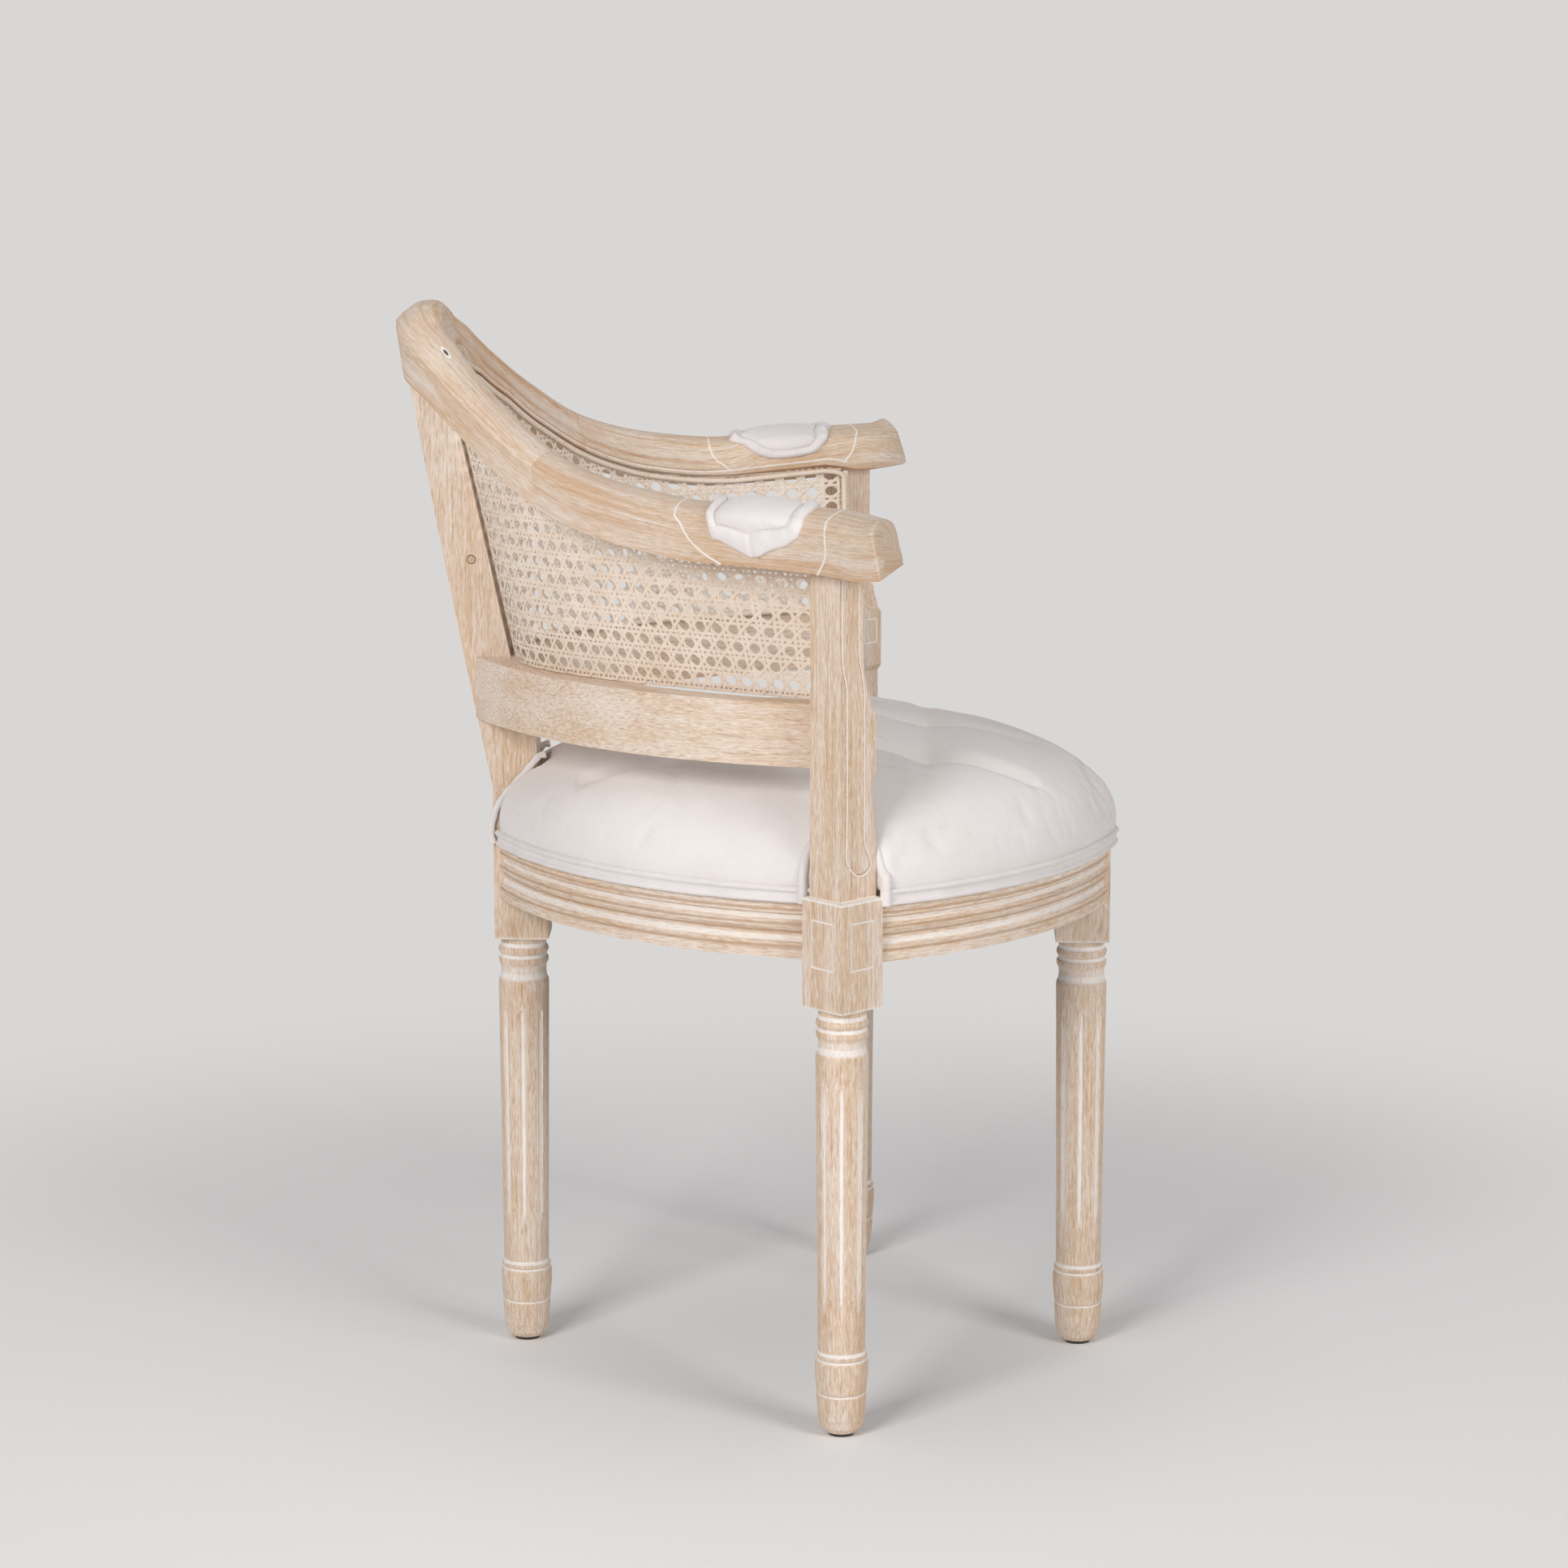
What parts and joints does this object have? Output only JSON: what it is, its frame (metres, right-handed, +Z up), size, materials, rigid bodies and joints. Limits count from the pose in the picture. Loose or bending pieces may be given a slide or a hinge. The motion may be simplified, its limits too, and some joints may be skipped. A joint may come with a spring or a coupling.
{
  "type": "corner chair",
  "caption": "Round corner chair with turned fluted legs set as a diamond, a tufted seat and a caned barrel back under a sweeping moulded crest and padded arms",
  "frame": {"origin": "centre of the bounding box's bottom, on the floor", "axes": "+Z up, the sitter faces -Y with the front leg at -Y, and X runs from arm to arm"},
  "size_m": [0.656, 0.5576, 0.825],
  "materials": {
    "limed_wood": "open-grained pale wood with white lime wax in the grain and the grooves",
    "cane": "woven cane webbing, natural with a faint white wash",
    "linen": "off-white plain-weave linen",
    "plain_wood": "plain sanded wood",
    "screw_steel": "zinc-plated steel",
    "dust_cloth": "thin black non-woven cloth",
    "dark_glide": "dark plastic"
  },
  "bodies": {
    "root": {"front_leg": "limed_wood", "back_leg": "limed_wood", "left_leg_post": "limed_wood", "right_leg_post": "limed_wood", "back_stile": "limed_wood", "front_left_rail": "limed_wood", "front_right_rail": "limed_wood", "back_left_rail": "limed_wood", "back_right_rail": "limed_wood", "left_back_rail": "limed_wood", "right_back_rail": "limed_wood", "crest_rail": "limed_wood", "left_arm": "limed_wood", "right_arm": "limed_wood", "stile_plug": "limed_wood", "cane_panel": "cane", "cane_spline": "cane", "seat_cushion": "linen", "left_arm_pad": "linen", "right_arm_pad": "linen", "seat_board": "plain_wood", "corner_braces": "plain_wood", "dowels": "plain_wood", "brace_screws": "screw_steel", "dust_cover": "dust_cloth", "glides": "dark_glide"}
  },
  "joints": []
}
